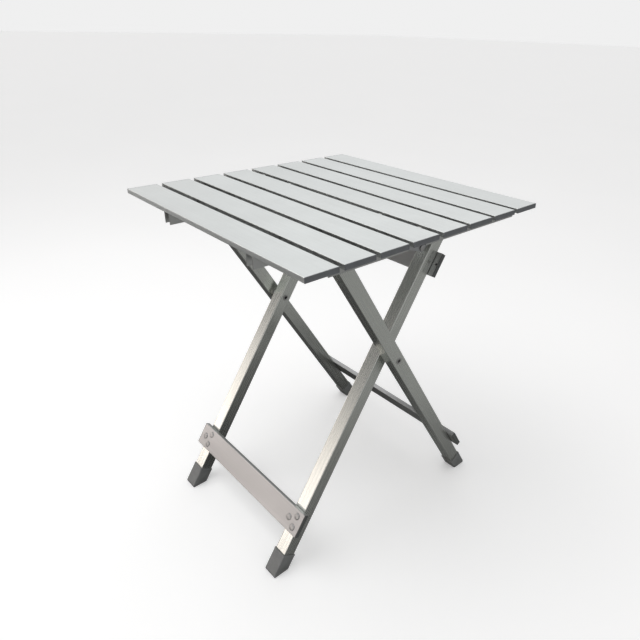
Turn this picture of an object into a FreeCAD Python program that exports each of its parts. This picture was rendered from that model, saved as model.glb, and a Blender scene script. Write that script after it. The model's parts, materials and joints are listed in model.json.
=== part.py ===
import FreeCAD, Part
import math
import os

# Folding side table: slatted top in two hinged halves on crossed square-tube legs.
# Millimetres. +X runs along the slats, +Y to the back, +Z up.
# Shapes are drawn with the middle of the top at y = 0 and the floor at z = 0, and
# shifted along Y at the end, so that the origin is the middle of the footprint.
V = FreeCAD.Vector
X_AXIS = V(1, 0, 0)

# table top
TABLE_HEIGHT = 602.0
SLAT_LENGTH = 500.0
SLAT_WIDTH = 54.3
SLAT_THICK = 8.0
SLAT_GAP = 9.0
MIDDLE_GAP = 10.5
SLATS_PER_HALF = 4
EXTRUSION_WALL = 1.3
EXTRUSION_CHAMBERS = 3
EXTRUSION_EDGE = 0.8
PLUG_PLATE = 1.2
PLUG_TONGUE = 10.0
PLUG_FIT = 0.1

# channel rails under the slats
RAIL_WIDTH = 17.0
RAIL_DEPTH = 23.5
RAIL_WALL = 1.6
INNER_RAIL_X = 120.0
OUTER_RAIL_X = 204.0
RAIL_END_INSET = 7.5
SHORT_RAIL_REACH = 182.0
RAIL_HINGE_END = 11.0

# leg frames
TUBE = 25.0
TUBE_WALL = 1.5
TUBE_EDGE = 1.5
OUTER_LEG_X = 178.1
INNER_LEG_X = 144.5
CROSS_Y = -7.5
CROSS_BELOW_TOP = 241.0
OUTER_LEAN = 31.7
INNER_LEAN = 33.4
PIVOT_BELOW_TOP = 23.5
TUBE_PAST_PIVOT = 7.2

# foot caps
CAP_WALL = 1.6
CAP_LENGTH = 37.0
CAP_LIP = 0.3
CAP_LIP_HEIGHT = 3.0
CAP_FLOOR = 5.0
CAP_EDGE = 1.2
CAP_TOE_TRIM = 3.5

# cross bars of flat hollow extrusion
BAR_WIDTH = 43.0
BAR_THICK = 9.0
FRONT_PLATE_HALF = 168.0
TOP_BAR_HALF = 169.0
REAR_BAR_HALF = 206.0
FRONT_PLATE_ALONG = -331.6
TOP_BAR_ALONG = 176.3
REAR_BAR_ALONG = -311.4
BAR_RIVET_ACROSS = 8.0
BAR_RIVET_ALONG = 10.5
PLUG_LOCK_R = 2.0
PLUG_LOCK_INSET = 3.8

# rivets and pins
RIVET_R = 2.4
RIVET_HEAD_R = 5.7
RIVET_HEAD_H = 1.7
RIVET_BULB_R = 2.9
RIVET_BULB_H = 3.0
SLAT_RIVET_HEAD_R = 4.5
SLAT_RIVET_HEAD_H = 1.5
SLAT_RIVET_TAIL = 2.5
PIN_R = 4.0
PIN_BORE_R = 3.1
PIN_HEAD_R = 5.6
PIN_HEAD_H = 1.0
RUNNING_FIT = 0.06
SIDE_GAP = 0.3
WASHER_R = 8.0

# middle hinges: two plates a side on each rail line, and a pin below the rails
HINGE_BELOW_TOP = 32.5
HINGE_PLATE = 2.0
HINGE_PIN_R = 2.5
HINGE_EYE_R = 6.5
HINGE_HEAD_R = 4.5
HINGE_HEAD_H = 1.2
HINGE_ARM = 32.0
HINGE_PLATE_TOP = 14.0
HINGE_PLATE_BOTTOM = 28.0
HINGE_RIVET_R = 2.0
HINGE_RIVET_HEAD_R = 3.5
HINGE_RIVET_HEAD_H = 1.0
HINGE_RIVET_Y = (16.0, 27.0)
HINGE_RIVET_BELOW_TOP = 20.5

# stop blocks in the middle gap
STOP_WIDTH = 7.0
STOP_TOP = 3.0
STOP_HEIGHT = 4.5

TOP_DEPTH = 2 * SLATS_PER_HALF * SLAT_WIDTH + 2 * (SLATS_PER_HALF - 1) * SLAT_GAP + MIDDLE_GAP
CROSS_Z = TABLE_HEIGHT - CROSS_BELOW_TOP
PIVOT_Z = TABLE_HEIGHT - PIVOT_BELOW_TOP
HINGE_Z = TABLE_HEIGHT - HINGE_BELOW_TOP
SLAT_UNDERSIDE = TABLE_HEIGHT - SLAT_THICK
RAIL_BOTTOM = SLAT_UNDERSIDE - RAIL_DEPTH
PIVOT_RISE = PIVOT_Z - CROSS_Z
CAP_HALF = TUBE / 2 + CAP_WALL
FOOT_Y = CROSS_Y - CROSS_Z * math.tan(math.radians(INNER_LEAN))
FOOT_REACH = FOOT_Y - CAP_HALF / math.cos(math.radians(INNER_LEAN)) + CAP_TOE_TRIM
SHIFT_Y = -(FOOT_REACH + TOP_DEPTH / 2) / 2
RAIL_LINES = (-OUTER_RAIL_X, -INNER_RAIL_X, INNER_RAIL_X, OUTER_RAIL_X)


def box(x0, x1, y0, y1, z0, z1):
    low = V(min(x0, x1), min(y0, y1), min(z0, z1))
    return Part.makeBox(abs(x1 - x0), abs(y1 - y0), abs(z1 - z0), low)


def rod(x0, x1, y, z, radius):
    """A round bar along X."""
    return Part.makeCylinder(radius, abs(x1 - x0), V(min(x0, x1), y, z), X_AXIS)


def round_long_edges(shape, direction, radius):
    """Round the outer edges that run along one axis."""
    edges = []
    for edge in shape.Edges:
        run = edge.Vertexes[-1].Point.sub(edge.Vertexes[0].Point).normalize()
        if abs(run.dot(direction)) > 0.99:
            edges.append(edge)
    return shape.makeFillet(radius, edges)


def chambers(half, width, thick):
    """The hollow spaces of a flat extrusion along X, centred on the origin."""
    clear = (width - (EXTRUSION_CHAMBERS + 1) * EXTRUSION_WALL) / EXTRUSION_CHAMBERS
    depth = thick / 2 - EXTRUSION_WALL
    spaces = []
    for i in range(EXTRUSION_CHAMBERS):
        y0 = -width / 2 + EXTRUSION_WALL + i * (clear + EXTRUSION_WALL)
        spaces.append((y0, y0 + clear, -depth, depth))
    return [box(-half, half, y0, y1, z0, z1) for y0, y1, z0, z1 in spaces]


def flat_profile(half, width, thick):
    block = box(-half, half, -width / 2, width / 2, -thick / 2, thick / 2)
    return round_long_edges(block, X_AXIS, EXTRUSION_EDGE)


def extrusion(half, width, thick):
    """Flat hollow aluminium bar, its width along Y and its thickness along Z."""
    shape = flat_profile(half - PLUG_PLATE, width, thick)
    for space in chambers(half, width, thick):
        shape = shape.cut(space)
    return shape


def end_plugs(half, width, thick):
    """One plastic plug for each end of a flat extrusion."""
    solid = flat_profile(half, width, thick)
    plugs = []
    for side in (-1, 1):
        inner = half - PLUG_PLATE
        plug = solid.common(box(side * inner, side * half, -width, width, -thick, thick))
        for space in chambers(half, width, thick):
            b = space.BoundBox
            tongue = box(side * (inner - PLUG_TONGUE), side * inner, b.YMin + PLUG_FIT,
                         b.YMax - PLUG_FIT, b.ZMin + PLUG_FIT, b.ZMax - PLUG_FIT)
            plug = plug.fuse(tongue)
        plugs.append(plug.removeSplitter())
    return plugs


def slat_centre_y(index):
    """Middle of a slat, counted from the front edge of the top."""
    y = -TOP_DEPTH / 2 + SLAT_WIDTH / 2 + index * (SLAT_WIDTH + SLAT_GAP)
    if index >= SLATS_PER_HALF:
        y += MIDDLE_GAP - SLAT_GAP
    return y


def at_slat(shape, index):
    moved = shape.copy()
    moved.translate(V(0, slat_centre_y(index), TABLE_HEIGHT - SLAT_THICK / 2))
    return moved


def rivet_places(back):
    """Where the rails are riveted to the slats of one half."""
    places = []
    for step in range(SLATS_PER_HALF):
        index = step + SLATS_PER_HALF if back else step
        y = slat_centre_y(index)
        for x in RAIL_LINES:
            if abs(y) < rail_reach(x, back):
                places.append((x, y, index))
    return places


def rail_reach(x, back):
    """Outer end of a rail; the ones that would meet a cross bar when folded are short."""
    if (abs(x) == OUTER_RAIL_X) == back:
        return TOP_DEPTH / 2 - RAIL_END_INSET
    return SHORT_RAIL_REACH


def slat(index):
    shape = at_slat(extrusion(SLAT_LENGTH / 2, SLAT_WIDTH, SLAT_THICK), index)
    for x, y, place in rivet_places(index >= SLATS_PER_HALF):
        if place == index:
            hole = Part.makeCylinder(RIVET_R, SLAT_THICK / 2, V(x, y, SLAT_UNDERSIDE - 1))
            shape = shape.cut(hole)
    return shape


def slat_plugs(back):
    solids = []
    for step in range(SLATS_PER_HALF):
        index = step + SLATS_PER_HALF if back else step
        for plug in end_plugs(SLAT_LENGTH / 2, SLAT_WIDTH, SLAT_THICK):
            solids.append(at_slat(plug, index))
    return Part.makeCompound(solids)


def rail(x, back):
    """Channel, open downwards, from near the hinge to its outer end."""
    reach = rail_reach(x, back)
    y0 = RAIL_HINGE_END if back else -reach
    y1 = reach if back else -RAIL_HINGE_END
    half = RAIL_WIDTH / 2
    shape = box(x - half, x + half, y0, y1, RAIL_BOTTOM, SLAT_UNDERSIDE)
    shape = shape.cut(box(x - half + RAIL_WALL, x + half - RAIL_WALL, y0 - 1, y1 + 1,
                          RAIL_BOTTOM - 1, SLAT_UNDERSIDE - RAIL_WALL))
    for rx, ry, _ in rivet_places(back):
        if abs(rx - x) < half:
            shape = shape.cut(Part.makeCylinder(RIVET_R, 10, V(rx, ry, SLAT_UNDERSIDE - 5)))
    side = 1 if back else -1
    for y in HINGE_RIVET_Y:
        z = TABLE_HEIGHT - HINGE_RIVET_BELOW_TOP
        shape = shape.cut(rod(x - half - 1, x + half + 1, side * y, z, HINGE_RIVET_R))
    pivot_y = inner_pivot_y() if back else outer_pivot_y()
    if abs(x) == (INNER_RAIL_X if back else OUTER_RAIL_X):
        shape = shape.cut(rod(x - half - 1, x + half + 1, pivot_y, PIVOT_Z, PIN_R))
    return shape


def slat_rivets(back):
    solids = []
    for x, y, _ in rivet_places(back):
        under_web = SLAT_UNDERSIDE - RAIL_WALL
        length = RAIL_WALL + EXTRUSION_WALL + SLAT_RIVET_TAIL
        body = Part.makeCylinder(RIVET_R, length, V(x, y, under_web))
        head = dome(SLAT_RIVET_HEAD_R, SLAT_RIVET_HEAD_H)
        head.rotate(V(), X_AXIS, 180)
        head.translate(V(x, y, under_web))
        solids.append(body.fuse(head).removeSplitter())
    return Part.makeCompound(solids)


def dome(radius, height):
    """Low round head standing on z = 0."""
    ball = (radius * radius + height * height) / (2 * height)
    sphere = Part.makeSphere(ball, V(0, 0, height - ball))
    return sphere.common(Part.makeCylinder(radius, height))


def bar_rivet():
    """Blind rivet along +Z: head on z = 0, shank through the bar and the tube wall."""
    grip = BAR_THICK + TUBE_WALL
    shank = Part.makeCylinder(RIVET_R, grip, V(0, 0, -grip))
    bulb = Part.makeCylinder(RIVET_BULB_R, RIVET_BULB_H, V(0, 0, -grip - RIVET_BULB_H))
    return dome(RIVET_HEAD_R, RIVET_HEAD_H).fuse([shank, bulb]).removeSplitter()


def outer_pivot_y():
    return CROSS_Y - PIVOT_RISE * math.tan(math.radians(OUTER_LEAN))


def inner_pivot_y():
    return CROSS_Y + PIVOT_RISE * math.tan(math.radians(INNER_LEAN))


def leaned(shape, outer):
    """Move a shape from leg coordinates (Z up the leg, from the crossing) into place."""
    moved = shape.copy()
    moved.rotate(V(), X_AXIS, OUTER_LEAN if outer else -INNER_LEAN)
    moved.translate(V(0, CROSS_Y, CROSS_Z))
    return moved


def lean_of(outer):
    return math.radians(OUTER_LEAN if outer else INNER_LEAN)


def floor_along(outer):
    """Distance down the leg's middle line from the crossing to the floor."""
    return CROSS_Z / math.cos(lean_of(outer))


def tube_end_along(outer):
    return -(floor_along(outer) - CAP_HALF * math.tan(lean_of(outer)) - CAP_FLOOR)


def pivot_along(outer):
    return PIVOT_RISE / math.cos(lean_of(outer))


def bars_of(outer):
    """Each cross bar of a frame: its place along the leg, and +1 behind or -1 in front."""
    if outer:
        return [(REAR_BAR_ALONG, 1)]
    return [(FRONT_PLATE_ALONG, -1), (TOP_BAR_ALONG, 1)]


def bar_rivet_spots(outer):
    """Three rivets in a triangle on each leg: X and offset along the leg."""
    leg_x = OUTER_LEG_X if outer else INNER_LEG_X
    spots = []
    for side in (-1, 1):
        spots.append((side * leg_x - BAR_RIVET_ACROSS, 0))
        spots.append((side * leg_x + BAR_RIVET_ACROSS, BAR_RIVET_ALONG))
        spots.append((side * leg_x + BAR_RIVET_ACROSS, -BAR_RIVET_ALONG))
    return spots


def leg(side, outer):
    """Square tube with its pivot holes and the rivet holes of its cross bars."""
    x = side * (OUTER_LEG_X if outer else INNER_LEG_X)
    half = TUBE / 2
    inner = half - TUBE_WALL
    z0 = tube_end_along(outer)
    z1 = pivot_along(outer) + TUBE_PAST_PIVOT
    shape = round_long_edges(box(x - half, x + half, -half, half, z0, z1), V(0, 0, 1), TUBE_EDGE)
    shape = shape.cut(box(x - inner, x + inner, -inner, inner, z0 - 1, z1 + 1))
    cross_r = PIN_R if outer else PIN_R + RUNNING_FIT
    top_r = PIN_R + RUNNING_FIT if outer else PIN_R
    shape = shape.cut(rod(x - TUBE, x + TUBE, 0, 0, cross_r))
    shape = shape.cut(rod(x - TUBE, x + TUBE, 0, pivot_along(outer), top_r))
    for along, face in bars_of(outer):
        for rx, rz in bar_rivet_spots(outer):
            if abs(rx - x) < half:
                hole = Part.makeCylinder(RIVET_R, TUBE_WALL + 2, V(rx, face * (inner - 1), along + rz),
                                         V(0, face, 0))
                shape = shape.cut(hole)
    return leaned(shape, outer)


def top_plugs(outer):
    """Plastic plates that close the top ends of a pair of legs."""
    solids = []
    half = TUBE / 2
    z = pivot_along(outer) + TUBE_PAST_PIVOT
    for side in (-1, 1):
        x = side * (OUTER_LEG_X if outer else INNER_LEG_X)
        plate = box(x - half, x + half, -half, half, z, z + PLUG_PLATE)
        plate = round_long_edges(plate, V(0, 0, 1), TUBE_EDGE)
        reach = half - TUBE_WALL - PLUG_FIT
        tongue = box(x - reach, x + reach, -reach, reach, z - 2, z)
        hollow = box(x - reach + 2, x + reach - 2, -reach + 2, reach - 2, z - 3, z)
        solids.append(leaned(plate.fuse(tongue.cut(hollow)).removeSplitter(), outer))
    return Part.makeCompound(solids)


def foot_cap(side, outer):
    """Plastic sleeve on the leg's lower end, cut level where it meets the floor."""
    x = side * (OUTER_LEG_X if outer else INNER_LEG_X)
    low = -floor_along(outer) - TUBE
    high = -floor_along(outer) + CAP_LENGTH
    sleeve = box(x - CAP_HALF, x + CAP_HALF, -CAP_HALF, CAP_HALF, low, high)
    sleeve = round_long_edges(sleeve, V(0, 0, 1), CAP_EDGE + CAP_WALL / 2)
    edge = CAP_HALF + CAP_LIP
    lip = box(x - edge, x + edge, -edge, edge, high - CAP_LIP_HEIGHT, high)
    lip = round_long_edges(lip, V(0, 0, 1), CAP_EDGE + CAP_WALL / 2)
    tube = box(x - TUBE / 2, x + TUBE / 2, -TUBE / 2, TUBE / 2, tube_end_along(outer), high + 1)
    tube = round_long_edges(tube, V(0, 0, 1), TUBE_EDGE)
    shape = leaned(sleeve.fuse(lip).removeSplitter().cut(tube), outer)
    below = box(x - TUBE, x + TUBE, -TABLE_HEIGHT, TABLE_HEIGHT, -TABLE_HEIGHT, 0)
    foot = CROSS_Z * math.tan(lean_of(outer)) + CAP_HALF / math.cos(lean_of(outer)) - CAP_TOE_TRIM
    away = 1 if outer else -1
    toe = box(x - TUBE, x + TUBE, CROSS_Y + away * foot, away * TABLE_HEIGHT, 0, TABLE_HEIGHT)
    return shape.cut(below).cut(toe)


def on_leg_face(shape, along, face):
    """Stand a bar on a leg's front or back face: thickness along Y, width up the leg."""
    moved = shape.copy()
    moved.rotate(V(), X_AXIS, -90 * face)
    moved.translate(V(0, face * (TUBE + BAR_THICK) / 2, along))
    return moved


def plug_locks(half):
    """Small holes near the ends of a bar, in its leg side, where the end plugs snap in."""
    depth = BAR_THICK - EXTRUSION_WALL
    return [Part.makeCylinder(PLUG_LOCK_R, depth, V(side * (half - PLUG_LOCK_INSET), 0, -BAR_THICK / 2))
            for side in (-1, 1)]


def cross_bar(half, along, face, outer):
    flat = extrusion(half, BAR_WIDTH, BAR_THICK).cut(plug_locks(half))
    shape = on_leg_face(flat, along, face)
    for x, z in bar_rivet_spots(outer):
        start = V(x, face * TUBE / 2 - face, along + z)
        shape = shape.cut(Part.makeCylinder(RIVET_R, BAR_THICK + 2, start, V(0, face, 0)))
    return leaned(shape, outer)


def cross_bar_plugs(half, along, face, outer):
    plugs = [plug.cut(plug_locks(half)) for plug in end_plugs(half, BAR_WIDTH, BAR_THICK)]
    return Part.makeCompound([leaned(on_leg_face(plug, along, face), outer) for plug in plugs])


def cross_bar_rivets(along, face, outer):
    solids = []
    for x, z in bar_rivet_spots(outer):
        rivet = bar_rivet()
        rivet.rotate(V(), X_AXIS, -90 * face)
        rivet.translate(V(x, face * (TUBE / 2 + BAR_THICK), along + z))
        solids.append(leaned(rivet, outer))
    return Part.makeCompound(solids)


def hollow_pin(x0, x1, y, z, side):
    """Tubular rivet from x0 to x1 (inner to outer faces), with a flange at each end."""
    shape = rod(side * (x0 - PIN_HEAD_H), side * (x1 + PIN_HEAD_H), y, z, PIN_R)
    shape = shape.fuse([rod(side * (x0 - PIN_HEAD_H), side * x0, y, z, PIN_HEAD_R),
                        rod(side * x1, side * (x1 + PIN_HEAD_H), y, z, PIN_HEAD_R)])
    bore = rod(side * (x0 - 2 * PIN_HEAD_H), side * (x1 + 2 * PIN_HEAD_H), y, z, PIN_BORE_R)
    return shape.removeSplitter().cut(bore)


def washer(x0, x1, y, z, side, radius, hole):
    return rod(side * x0, side * x1, y, z, radius).cut(rod(side * (x0 - 1), side * (x1 + 1), y, z, hole))


def cross_pins():
    """The two tubular rivets that the leg frames turn on."""
    x0 = INNER_LEG_X - TUBE / 2 - SIDE_GAP
    x1 = OUTER_LEG_X + TUBE / 2
    return Part.makeCompound([hollow_pin(x0, x1, CROSS_Y, CROSS_Z, side) for side in (-1, 1)])


def cross_spacers():
    x0 = INNER_LEG_X + TUBE / 2 + SIDE_GAP
    x1 = OUTER_LEG_X - TUBE / 2
    return Part.makeCompound([washer(x0, x1, CROSS_Y, CROSS_Z, side, WASHER_R, PIN_R)
                              for side in (-1, 1)])


def front_pivot_pins():
    """Tubular rivets through the outer legs' tops and the front outer rails."""
    x0 = OUTER_LEG_X - TUBE / 2 - SIDE_GAP
    x1 = OUTER_RAIL_X + RAIL_WIDTH / 2
    return Part.makeCompound([hollow_pin(x0, x1, outer_pivot_y(), PIVOT_Z, side) for side in (-1, 1)])


def front_pivot_washers():
    x0 = OUTER_LEG_X + TUBE / 2 + SIDE_GAP
    x1 = OUTER_RAIL_X - RAIL_WIDTH / 2
    return Part.makeCompound([washer(x0, x1, outer_pivot_y(), PIVOT_Z, side, WASHER_R, PIN_R)
                              for side in (-1, 1)])


def back_pivot_studs():
    """The rail's part of the back pivots: head, shank and collar, up to the leg's face."""
    y = inner_pivot_y()
    x0 = INNER_RAIL_X - RAIL_WIDTH / 2
    x1 = INNER_LEG_X - TUBE / 2 - SIDE_GAP
    collar = INNER_RAIL_X + RAIL_WIDTH / 2
    solids = []
    for side in (-1, 1):
        stud = rod(side * (x0 - PIN_HEAD_H), side * x1, y, PIVOT_Z, PIN_R)
        stud = stud.fuse([rod(side * (x0 - PIN_HEAD_H), side * x0, y, PIVOT_Z, PIN_HEAD_R),
                          rod(side * collar, side * x1, y, PIVOT_Z, WASHER_R)])
        bore = rod(side * (x0 - 2 * PIN_HEAD_H), side * (x1 + 1), y, PIVOT_Z, PIN_BORE_R)
        solids.append(stud.removeSplitter().cut(bore))
    return Part.makeCompound(solids)


def inner_leg_sleeves():
    """The leg's part of the back pivots: a flanged sleeve through each tube."""
    y = inner_pivot_y()
    x0 = INNER_LEG_X - TUBE / 2
    x1 = INNER_LEG_X + TUBE / 2
    solids = []
    for side in (-1, 1):
        sleeve = rod(side * x0, side * (x1 + PIN_HEAD_H), y, PIVOT_Z, PIN_R)
        sleeve = sleeve.fuse(rod(side * x1, side * (x1 + PIN_HEAD_H), y, PIVOT_Z, PIN_HEAD_R))
        bore = rod(side * (x0 - 1), side * (x1 + 2 * PIN_HEAD_H), y, PIVOT_Z, PIN_BORE_R)
        solids.append(sleeve.removeSplitter().cut(bore))
    return Part.makeCompound(solids)


def plate_offsets(back):
    """How far a hinge plate's two faces lie from the rail's middle plane."""
    if back:
        far = RAIL_WIDTH / 2 - RAIL_WALL
        return far - HINGE_PLATE, far
    near = RAIL_WIDTH / 2
    return near, near + HINGE_PLATE


def hinge_plate(x0, x1, back):
    """Flat arm on a rail's flange that drops to an eye below the rails."""
    d = 1 if back else -1
    top = TABLE_HEIGHT - HINGE_PLATE_TOP
    bottom = TABLE_HEIGHT - HINGE_PLATE_BOTTOM
    low = min(x0, x1)
    eye_edge = HINGE_EYE_R * 0.7
    outline = [(d * HINGE_ARM, top), (d * RAIL_HINGE_END, top), (-d * eye_edge, HINGE_Z + eye_edge),
               (-d * eye_edge, HINGE_Z), (d * eye_edge, HINGE_Z - eye_edge), (d * HINGE_ARM, bottom)]
    points = [V(low, y, z) for y, z in outline]
    arm = Part.Face(Part.makePolygon(points + points[:1])).extrude(V(abs(x1 - x0), 0, 0))
    plate = arm.fuse(rod(x0, x1, 0, HINGE_Z, HINGE_EYE_R)).removeSplitter()
    hole_r = HINGE_PIN_R if back else HINGE_PIN_R + RUNNING_FIT
    plate = plate.cut(rod(low - 1, low + HINGE_PLATE + 1, 0, HINGE_Z, hole_r))
    for y in HINGE_RIVET_Y:
        z = TABLE_HEIGHT - HINGE_RIVET_BELOW_TOP
        plate = plate.cut(rod(low - 1, low + HINGE_PLATE + 1, d * y, z, HINGE_RIVET_R))
    return plate


def hinge_plates(back):
    near, far = plate_offsets(back)
    return Part.makeCompound([hinge_plate(x + side * near, x + side * far, back)
                              for x in RAIL_LINES for side in (-1, 1)])


def hinge_rivets(back):
    """Small rivets that hold the hinge plates to the rail flanges."""
    near, far = plate_offsets(back)
    inside = near if back else RAIL_WIDTH / 2 - RAIL_WALL
    outside = RAIL_WIDTH / 2 if back else far
    z = TABLE_HEIGHT - HINGE_RIVET_BELOW_TOP
    d = 1 if back else -1
    solids = []
    for x in RAIL_LINES:
        for side in (-1, 1):
            for y in HINGE_RIVET_Y:
                a = x + side * (inside - HINGE_RIVET_HEAD_H)
                b = x + side * inside
                c = x + side * outside
                e = x + side * (outside + HINGE_RIVET_HEAD_H)
                rivet = rod(a, e, d * y, z, HINGE_RIVET_R)
                heads = [rod(a, b, d * y, z, HINGE_RIVET_HEAD_R), rod(c, e, d * y, z, HINGE_RIVET_HEAD_R)]
                solids.append(rivet.fuse(heads).removeSplitter())
    return Part.makeCompound(solids)


def hinge_pins():
    """One pin on each rail line, through the eyes of its four plates."""
    reach = plate_offsets(False)[1] + SIDE_GAP
    solids = []
    for x in RAIL_LINES:
        pin = rod(x - reach - HINGE_HEAD_H, x + reach + HINGE_HEAD_H, 0, HINGE_Z, HINGE_PIN_R)
        heads = [rod(x - reach - HINGE_HEAD_H, x - reach, 0, HINGE_Z, HINGE_HEAD_R),
                 rod(x + reach, x + reach + HINGE_HEAD_H, 0, HINGE_Z, HINGE_HEAD_R)]
        solids.append(pin.fuse(heads).removeSplitter())
    return Part.makeCompound(solids)


def gap_stops():
    """Blocks on the fifth slat that meet the fourth and keep the open top flat."""
    top = TABLE_HEIGHT - STOP_TOP
    solids = [box(x - STOP_WIDTH / 2, x + STOP_WIDTH / 2, -MIDDLE_GAP / 2 + SIDE_GAP, MIDDLE_GAP / 2,
                  top - STOP_HEIGHT, top) for x in RAIL_LINES]
    return Part.makeCompound(solids)


def export(name, shape):
    placed = shape.copy()
    placed.translate(V(0, SHIFT_Y, 0))
    placed.exportStep("parts/%s.step" % name)


def export_top():
    for index in range(2 * SLATS_PER_HALF):
        export("slat_%d" % (index + 1), slat(index))
    for back, half in ((False, "front"), (True, "back")):
        export("%s_slat_end_plugs" % half, slat_plugs(back))
        export("%s_slat_rivets" % half, slat_rivets(back))
        export("%s_hinge_plates" % half, hinge_plates(back))
        export("%s_hinge_rivets" % half, hinge_rivets(back))
        for side, hand in ((-1, "left"), (1, "right")):
            export("%s_inner_rail_%s" % (half, hand), rail(side * INNER_RAIL_X, back))
            export("%s_outer_rail_%s" % (half, hand), rail(side * OUTER_RAIL_X, back))
    export("middle_hinge_pins", hinge_pins())
    export("middle_gap_stops", gap_stops())
    export("front_pivot_pins", front_pivot_pins())
    export("front_pivot_washers", front_pivot_washers())
    export("back_pivot_studs", back_pivot_studs())


def export_legs():
    for outer, frame in ((True, "outer"), (False, "inner")):
        export("%s_leg_top_plugs" % frame, top_plugs(outer))
        for side, hand in ((-1, "left"), (1, "right")):
            export("%s_leg_%s" % (frame, hand), leg(side, outer))
            export("%s_foot_cap_%s" % (frame, hand), foot_cap(side, outer))
    bars = [("rear_bar", REAR_BAR_HALF, REAR_BAR_ALONG, 1, True),
            ("front_plate", FRONT_PLATE_HALF, FRONT_PLATE_ALONG, -1, False),
            ("top_bar", TOP_BAR_HALF, TOP_BAR_ALONG, 1, False)]
    for name, half, along, face, outer in bars:
        export(name, cross_bar(half, along, face, outer))
        export(name + "_end_plugs", cross_bar_plugs(half, along, face, outer))
        export(name + "_rivets", cross_bar_rivets(along, face, outer))
    export("cross_pivot_pins", cross_pins())
    export("cross_pivot_spacers", cross_spacers())
    export("inner_leg_pivot_sleeves", inner_leg_sleeves())


def report_axes():
    places = (("cross pivot", CROSS_Y, CROSS_Z), ("front pivot", outer_pivot_y(), PIVOT_Z),
              ("back pivot", inner_pivot_y(), PIVOT_Z), ("middle hinge", 0.0, HINGE_Z))
    for name, y, z in places:
        print("%-12s y %.3f  z %.3f" % (name, y + SHIFT_Y, z))
    print("top depth %.2f, shift %.3f" % (TOP_DEPTH, SHIFT_Y))


os.makedirs("parts", exist_ok=True)
export_top()
export_legs()
report_axes()
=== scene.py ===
import json
import math

import bpy
from bpy.props import FloatProperty, FloatVectorProperty, IntProperty, PointerProperty
from mathutils import Matrix, Vector


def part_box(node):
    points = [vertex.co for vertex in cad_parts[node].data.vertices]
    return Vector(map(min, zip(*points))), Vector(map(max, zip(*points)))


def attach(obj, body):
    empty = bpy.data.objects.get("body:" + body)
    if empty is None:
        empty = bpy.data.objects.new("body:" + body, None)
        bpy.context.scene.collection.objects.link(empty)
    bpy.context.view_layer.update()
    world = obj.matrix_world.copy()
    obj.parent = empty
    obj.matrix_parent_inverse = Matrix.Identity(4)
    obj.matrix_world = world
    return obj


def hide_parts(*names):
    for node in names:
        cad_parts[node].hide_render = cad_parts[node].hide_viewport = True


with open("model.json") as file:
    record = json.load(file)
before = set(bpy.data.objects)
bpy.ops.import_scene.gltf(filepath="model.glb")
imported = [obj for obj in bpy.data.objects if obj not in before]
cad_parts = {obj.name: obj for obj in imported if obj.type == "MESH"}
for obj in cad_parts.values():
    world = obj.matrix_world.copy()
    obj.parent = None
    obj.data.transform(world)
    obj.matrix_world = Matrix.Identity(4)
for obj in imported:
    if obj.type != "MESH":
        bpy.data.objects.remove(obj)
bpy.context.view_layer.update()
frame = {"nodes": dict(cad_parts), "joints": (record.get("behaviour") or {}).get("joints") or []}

bl_info = {
    "name": "Folding Side Table",
    "version": (1, 0, 0),
    "blender": (4, 5, 0),
    "location": "3D View > Sidebar > Table",
    "description": "Dresses the folding side table: metal, plastic, rivets, pivots, feet and a studio",
    "category": "Add Mesh",
}

JOINTS = {joint["name"]: joint for joint in frame["joints"]}

MM = 0.001

# meshes: how near two corners are one, and how nearly level two faces are one
WELD = 0.002 * MM
SPIN_WELD = 0.005 * MM
LEVEL_ANGLE = math.radians(1)

# plugs, rivets, pins, washers and foot caps
PLUG_THICK = 1.2 * MM
PLUG_RIM = 1.1 * MM
RIVET_SHANK = 2.35 * MM
RIVET_EDGE = 0.10 * MM
RIVET_STEPS = 9
RIVET_RIM = 0.16
RIVET_BULGE, RIVET_CROWN = 0.62, 0.9
MANDREL_DEPTH, MANDREL_DISH, MANDREL_TIP = 0.9 * MM, 0.25 * MM, 0.3 * MM
PIN_EDGE = 0.22 * MM
WASHER_EDGE = 0.6 * MM
CAP_RIM = 3.0 * MM
CAP_FLARE = 0.5 * MM
CAP_CORNER = 2.0 * MM
CAP_EDGE = 0.8 * MM
CAP_SOCKET = 16.0 * MM
CAP_GAP = 0.02 * MM

# metal: tones as shares of its colour, what each mark adds to its roughness, the bump of its
# lines, and how far the painted shade reaches from a corner and down a gap
CLOUD_TONES = (0.955, 1.035)
LINE_TONE, LINE_SHARE = 0.90, 0.25
SCRATCH_TONE, SCRATCH_SHARE = 1.18, 0.25
RUBBED_METAL = 1.20
LINE_ROUGH = (-0.05, 0.06)
SCRATCH_ROUGH, DUST_ROUGH, CORNER_SHADE_ROUGH = -0.08, 0.5, 0.3
LINE_BUMP, LINE_DEPTH = 0.22, 0.02 * MM
CORNER_REACH = 2.2 * MM
GAP_REACH = 22 * MM

# plastic, in the same order, then its dust, painted shade and wear
SKIN_TONES = (0.88, 1.10)
SCUFF_TONE = 1.55
RUBBED_PLASTIC = 1.40
SKIN_ROUGH = (-0.06, 0.08)
SKIN_BUMP, SKIN_DEPTH = 0.3, 0.06 * MM
PLASTIC_DUST = 0.12
PLASTIC_CORNER_SHADE, PLASTIC_CORNER_SHADE_TONE = 0.6, 0.5
PLASTIC_WEAR, PLASTIC_WEAR_WIDTH = 0.5, 1.2 * MM

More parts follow.
